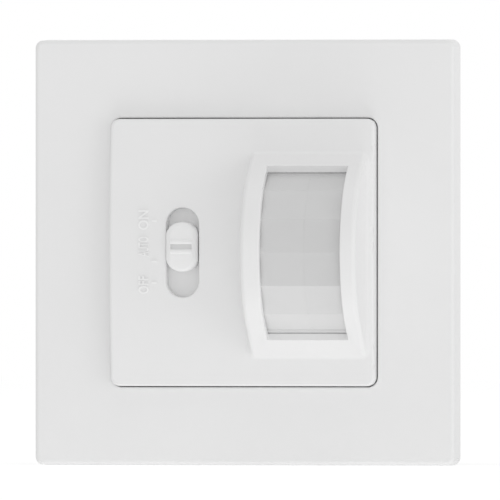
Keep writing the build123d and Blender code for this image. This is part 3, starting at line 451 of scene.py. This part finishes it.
# node: name of the copy, body, slot, and the angle above which an edge stays sharp
whiteMouldings = {
    "outer_frame": ("frameMoulding", "frame", "frame_white", mouldingMesh["sharp"]),
    "centre_cover": ("coverMoulding", "cover", "cover_white", mouldingMesh["sharp"]),
    "lens": ("lensSheet", "cover", "lens_milky", mouldingMesh["facetSharp"]),
    "mode_knob": ("knobMoulding", "mode_knob", "knob_white", mouldingMesh["sharp"]),
}
copies = {}
for nodeName, (pieceName, body, slot, sharpAngle) in whiteMouldings.items():
    copies[nodeName] = mergedCopy(nodeName, pieceName, body, sharpAngle)


# the knob's sides widen from its front to the shoulders and keep that width down to the base, mm
knobDraft = {
    "centre": -11.15, "rest": 1.05, "halfWidth": 2.7, "halfLength": 4.8,
    "base": 8.25, "leftShoulder": 11.5, "rightShoulder": 10.8, "top": 12.1,
    "leftGrowth": 0.16, "rightGrowth": 0.155,      # shares of the half width
}
# the ridges beside the groove close in, and its bottom lies deeper, mm
knobGroove = {
    "halfWidth": 2.05, "bottom": 11.7, "inside": 0.5, "outside": 1.5, "near": 0.02, "shift": 0.11, "drop": 0.5,
}


def closeGroove(bm):
    groove = knobGroove
    for vert in bm.verts:
        across = vert.co.x / mm - knobDraft["centre"]
        forward, height = -vert.co.y / mm, vert.co.z / mm - knobDraft["rest"]
        if abs(across) > groove["halfWidth"] or forward < groove["bottom"] - groove["near"]:
            continue
        onBottom = forward < groove["bottom"] + groove["near"]
        onRidge = groove["inside"] < abs(height) < groove["outside"]
        if onRidge:
            vert.co.z -= copysign(groove["shift"] * mm, height)
        if onBottom and (onRidge or abs(height) < groove["inside"]):
            vert.co.y += groove["drop"] * mm


def widenKnob(piece):
    draft = knobDraft
    bm = bmesh.new()
    bm.from_mesh(piece.data)
    for shoulder in (draft["leftShoulder"], draft["rightShoulder"]):
        bmesh.ops.bisect_plane(bm, geom=bm.verts[:] + bm.edges[:] + bm.faces[:], dist=mouldingMesh["cutNear"] * mm,
                               plane_co=(0, -shoulder * mm, 0), plane_no=(0, 1, 0))
    for vert in bm.verts:
        across = vert.co.x / mm - draft["centre"]
        forward = -vert.co.y / mm
        along = abs(vert.co.z / mm - draft["rest"])
        if forward > draft["base"] and abs(across) < draft["halfWidth"] and along < draft["halfLength"]:
            side = "left" if across < 0 else "right"
            share = (draft["top"] - forward) / (draft["top"] - draft[side + "Shoulder"])
            growth = draft[side + "Growth"] * min(1.0, max(0.0, share))
            vert.co.x = (draft["centre"] + across * (1 + growth)) * mm
    closeGroove(bm)
    markEdges(bm, mouldingMesh["sharp"])
    bm.to_mesh(piece.data)
    bm.free()


widenKnob(copies["mode_knob"])


# the ends of the lens rise to the inside of the hood, mm and degrees
lensEnds = {"centre": 6.3, "start": 65.4, "end": 69.0, "outside": 15.6, "rise": 0.45}


def raiseLensEnds(piece):
    ends = lensEnds
    for vert in piece.data.vertices:
        out, up = -vert.co.y / mm - ends["centre"], vert.co.z / mm
        radius, angle = hypot(out, up), degrees(atan2(abs(up), out))
        if angle > ends["start"] and radius > ends["outside"]:
            grown = 1 + ends["rise"] * (angle - ends["start"]) / (ends["end"] - ends["start"]) / radius
            vert.co.y = -(ends["centre"] + out * grown) * mm
            vert.co.z = up * grown * mm


raiseLensEnds(copies["lens"])


# the cover's crown, its outer sides, and the lower end of its hood, which runs out longer than the upper end, mm
coverCrown = {"front": 10.8, "radius": 174.51}
coverRim = {"side": 24.3, "shift": 0.08}
hoodFoot = {
    "left": -3.0, "start": 16.45, "full": 17.6, "foot": 19.3, "end": 23.4, "reach": 1.05, "near": 0.06,
    "sideDrop": 1.0,
}


def crownForward(height):
    return coverCrown["front"] - coverCrown["radius"] + sqrt(coverCrown["radius"] ** 2 - height ** 2)


def lengthenHoodFoot(piece):
    foot = hoodFoot
    for vert in piece.data.vertices:
        across, forward, down = vert.co.x / mm, -vert.co.y / mm, -vert.co.z / mm
        if across < foot["left"] or not foot["start"] < down < foot["end"]:
            continue
        drop = foot["sideDrop"] if across > coverRim["side"] else foot["near"]
        if forward < crownForward(down) - drop:
            continue
        grow = min(1.0, (down - foot["start"]) / (foot["full"] - foot["start"]))
        fade = min(1.0, (foot["end"] - down) / (foot["end"] - foot["foot"]))
        shift = foot["reach"] * grow * fade
        vert.co.z -= shift * mm
        vert.co.y += (crownForward(down) - crownForward(down + shift)) * mm


lengthenHoodFoot(copies["centre_cover"])


def spreadRim(piece):
    # the outer sides stand a little nearer to the frame
    for vert in piece.data.vertices:
        if abs(vert.co.x) > coverRim["side"] * mm:
            vert.co.x += copysign(coverRim["shift"] * mm, vert.co.x)
        if abs(vert.co.z) > coverRim["side"] * mm:
            vert.co.z += copysign(coverRim["shift"] * mm, vert.co.z)


spreadRim(copies["centre_cover"])
print("white mouldings made")


# raised words and ticks beside the slot, on the crown of the cover

positionMarks = {
    # word: its middle in mm above the middle of the cover, and its stretch
    "words": {"OFF": (-6.1, 0.72), "AUTO": (1.1, 0.5), "ON": (6.1, 0.9)},
    "across": -17.6,          # baseline of the words
    "letterSize": 2.7,
    "stand": 0.2,             # height of the relief
    "root": 0.12,
    "bold": 0.035,
    "tickAcross": -16.5, "tickLength": 0.9, "tickWidth": 0.28,
    "ticks": (-5.7, -1.7, 5.9),
}
lettering = {"curveSteps": 3, "weld": 0.0005}      # weld in the word's own mm


def textShape(word, size, depth, bold):
    curve = bpy.data.curves.new("word", "FONT")
    curve.body = word
    curve.size = size
    curve.extrude = depth / 2
    curve.offset = bold
    curve.align_x = "CENTER"
    curve.resolution_u = lettering["curveSteps"]
    letters = bpy.data.objects.new("word", curve)
    bpy.context.scene.collection.objects.link(letters)
    bpy.context.view_layer.update()
    bm = bmesh.new()
    bm.from_mesh(bpy.data.meshes.new_from_object(letters))
    bpy.data.objects.remove(letters)
    # the faces and the sides of the letters come as loose sheets
    bmesh.ops.remove_doubles(bm, verts=bm.verts[:], dist=lettering["weld"])
    return bm


def addShape(target, shape):
    mesh = bpy.data.meshes.new("part")
    shape.to_mesh(mesh)
    shape.free()
    target.from_mesh(mesh)
    bpy.data.meshes.remove(mesh)


def tickShape(width, length, depth):
    tick = bmesh.new()
    bmesh.ops.create_cube(tick, size=1)
    bmesh.ops.scale(tick, vec=(width, length, depth), verts=tick.verts[:])
    return tick


def turnOutward(bm):
    # each closed shell by itself, as a ring-shaped letter can come out inside out
    bmesh.ops.recalc_face_normals(bm, faces=bm.faces[:])
    waiting = set(bm.faces)
    while waiting:
        shell, border = [], [waiting.pop()]
        while border:
            face = border.pop()
            shell.append(face)
            near = {other for side in face.edges for other in side.link_faces} & waiting
            waiting -= near
            border.extend(near)
        if sum(face.calc_center_median().dot(face.normal) * face.calc_area() for face in shell) < 0:
            bmesh.ops.reverse_faces(bm, faces=shell)


def layOnCrown(bm):
    # local x runs along +Z of the cover, local y towards -X, local z forward
    marks = positionMarks
    middle = (marks["stand"] - marks["root"]) / 2
    for vert in bm.verts:
        along, up, forward = vert.co
        vert.co = Vector((-up, -(crownForward(along) + middle + forward), along)) * mm


def makePositionMarks():
    marks = positionMarks
    bm = bmesh.new()
    depth = marks["stand"] + marks["root"]
    for word, (middle, stretch) in marks["words"].items():
        shape = textShape(word, marks["letterSize"], depth, marks["bold"])
        bmesh.ops.scale(shape, vec=(stretch, 1, 1), verts=shape.verts[:])
        bmesh.ops.translate(shape, vec=(middle, -marks["across"], 0), verts=shape.verts[:])
        addShape(bm, shape)
    for place in marks["ticks"]:
        tick = tickShape(marks["tickWidth"], marks["tickLength"], depth)
        bmesh.ops.translate(tick, vec=(place, -marks["tickAcross"], 0), verts=tick.verts[:])
        addShape(bm, tick)
    layOnCrown(bm)
    turnOutward(bm)
    piece = newPiece(bm, "positionMarks", "markWhitePaintedLight")
    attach(piece, "cover")


makePositionMarks()
print("marks made")


# scales printed round the two dials, and numbers beside the wire entries

dialScales = {
    "across": -1.8, "front": 4.1,          # mm, middle of the dials and front of their plate
    "dials": {9.5: ("LUX", ("5", "20", "100", "500", "1000")), -9.5: ("TIME", ("1", "5", "10", "15", "30"))},
    "ticks": 11, "sweep": 270.0, "innerRadius": 3.5, "outerRadius": 4.2, "tickWidth": 0.16,
    "numberRadius": 5.35, "numberSize": 1.25, "numberDrop": 1.25 / 3, "wordSize": 1.5, "wordDrop": 5.6,
    "stand": 0.04, "root": 0.04, "bold": 0.0,
}
entryNumbers = {
    "places": (-11.1, -3.7, 3.7, 11.1), "height": -2.9, "back": 23.5, "size": 2.4, "stand": 0.15, "root": 0.1,
    "bold": 0.03,
}


def layOnPlate(bm, forward):
    # local x to the right, local y up, local z forward
    for vert in bm.verts:
        across, up, out = vert.co
        vert.co = Vector((across, -(forward + out), up)) * mm


def layOnBack(bm, back):
    # read from behind: local x to the left, local y up, local z backward
    for vert in bm.verts:
        across, up, out = vert.co
        vert.co = Vector((-across, back + out, up)) * mm


def addWord(target, word, size, depth, bold, place):
    shape = textShape(word, size, depth, bold)
    bmesh.ops.translate(shape, vec=(place[0], place[1], 0), verts=shape.verts[:])
    addShape(target, shape)


def makeDialScales():
    scale = dialScales
    depth = scale["stand"] + scale["root"]
    length = scale["outerRadius"] - scale["innerRadius"]
    bm = bmesh.new()
    for height, (word, numbers) in scale["dials"].items():
        for index in range(scale["ticks"]):
            angle = radians(scale["sweep"]) * (index / (scale["ticks"] - 1) - 0.5)
            tick = tickShape(scale["tickWidth"], length, depth)
            bmesh.ops.translate(tick, vec=(0, scale["innerRadius"] + length / 2, 0), verts=tick.verts[:])
            bmesh.ops.rotate(tick, matrix=Matrix.Rotation(-angle, 3, "Z"), verts=tick.verts[:])
            bmesh.ops.translate(tick, vec=(scale["across"], height, 0), verts=tick.verts[:])
            addShape(bm, tick)
        for index, number in enumerate(numbers):
            angle = radians(scale["sweep"]) * (index / (len(numbers) - 1) - 0.5)
            place = (scale["across"] + scale["numberRadius"] * sin(angle),
                     height + scale["numberRadius"] * cos(angle) - scale["numberDrop"])
            addWord(bm, number, scale["numberSize"], depth, scale["bold"], place)
        addWord(bm, word, scale["wordSize"], depth, scale["bold"], (scale["across"], height - scale["wordDrop"]))
    layOnPlate(bm, scale["front"] + (scale["stand"] - scale["root"]) / 2)
    turnOutward(bm)
    piece = newPiece(bm, "dialScales", "printDark")
    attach(piece, "insert")


def makeEntryNumbers():
    numbers = entryNumbers
    depth = numbers["stand"] + numbers["root"]
    bm = bmesh.new()
    for index, place in enumerate(numbers["places"]):
        addWord(bm, str(index + 1), numbers["size"], depth, numbers["bold"], (place, numbers["height"]))
    layOnBack(bm, numbers["back"] + (numbers["stand"] - numbers["root"]) / 2)
    turnOutward(bm)
    piece = newPiece(bm, "entryNumbers", "insertGrey")
    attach(piece, "insert")


makeDialScales()
makeEntryNumbers()
print("scales and numbers made")


# studio

studio = {
    "view": 0.0940, "lens": 1500.0, "sensor": 36.0, "clipEnd": 20.0, "azimuth": 9.0, "aimHeight": 0.46 * mm,
    "worldLevel": 0.67, "floorLevel": 0.34, "floorSeen": 0.65, "floorHeight": -40.0 * mm, "floorReach": 2.5,
    "white": (1.0, 1.0, 1.0, 1.0),
}
floorPaper = {**plasticBase, "colour": (0.5, 0.5, 0.5), "mottle": 0.01, "gloss": 0.9, "glossSpread": 0.05}


def makeCamera():
    data = bpy.data.cameras.new("studioCamera")
    data.lens = studio["lens"]
    data.sensor_width = studio["sensor"]
    data.clip_end = studio["clipEnd"]
    camera = bpy.data.objects.new("studioCamera", data)
    bpy.context.scene.collection.objects.link(camera)
    distance = studio["view"] * studio["lens"] / studio["sensor"]
    angle = radians(studio["azimuth"])
    camera.location = (sin(angle) * distance, -cos(angle) * distance, studio["aimHeight"])
    camera.rotation_euler = (pi / 2, 0.0, angle)
    bpy.context.scene.camera = camera


def makeWorld():
    world = bpy.data.worlds.new("studioWorld")
    world.use_nodes = True
    tree = world.node_tree
    tree.nodes.clear()
    path = tree.nodes.new("ShaderNodeLightPath")
    seen = mathNode(tree, "MAXIMUM", path.outputs["Is Camera Ray"], path.outputs["Is Glossy Ray"])
    seen = mathNode(tree, "MAXIMUM", seen, path.outputs["Is Transmission Ray"])
    soft = addNode(tree, "ShaderNodeBackground", {"Color": studio["white"], "Strength": studio["worldLevel"]})
    white = addNode(tree, "ShaderNodeBackground", {"Color": studio["white"], "Strength": 1.0})
    mix = addNode(tree, "ShaderNodeMixShader", {0: seen, 1: soft.outputs[0], 2: white.outputs[0]})
    output = tree.nodes.new("ShaderNodeOutputWorld")
    tree.links.new(mix.outputs[0], output.inputs["Surface"])
    bpy.context.scene.world = world


def makeFloor():
    bm = bmesh.new()
    bmesh.ops.create_grid(bm, x_segments=1, y_segments=1, size=studio["floorReach"])
    bmesh.ops.translate(bm, vec=(0, 0, studio["floorHeight"]), verts=bm.verts[:])
    mesh = bpy.data.meshes.new("floor")
    bm.to_mesh(mesh)
    bm.free()
    floor = bpy.data.objects.new("floor", mesh)
    bpy.context.scene.collection.objects.link(floor)
    material, tree, shader, vector = startMaterial("floorPaper")
    skin = placeSkin(tree, vector, floorPaper)
    linkSurface(tree, shader, skin.outputs["Colour"], skin)
    path = tree.nodes.new("ShaderNodeLightPath")
    glow = mapValue(tree, path.outputs["Is Camera Ray"], rising, (studio["floorLevel"], studio["floorSeen"]))
    tree.links.new(glow, shader.inputs["Emission Strength"])
    shader.inputs["Emission Color"].default_value = studio["white"]
    shader.inputs["Specular IOR Level"].default_value = 0.0
    mesh.materials.append(material)
    floor.visible_shadow = False


def makeLamp(name, place, size, watts):
    data = bpy.data.lights.new(name, "AREA")
    data.shape = "SQUARE"
    data.size = size
    data.energy = watts
    lamp = bpy.data.objects.new(name, data)
    bpy.context.scene.collection.objects.link(lamp)
    lamp.location = place
    lamp.rotation_euler = (-Vector(place)).to_track_quat("-Z", "Y").to_euler()


# name: place, size, watts
lamps = {
    "rightLamp": ((4.2, -2.0, -0.4), 3.8, 36.0),
    "lowLamp": ((0.4, -0.95, -2.65), 2.0, 21.5),
    "frontLamp": ((0.3, -2.0, 0.2), 0.8, 1.2),
    "topLamp": ((0.0, -0.8, 2.6), 2.0, 6.5),
}
makeCamera()
makeWorld()
makeFloor()
for name, (place, size, watts) in lamps.items():
    makeLamp(name, place, size, watts)
bpy.context.scene.view_settings.view_transform = "Standard"
print("studio ready")
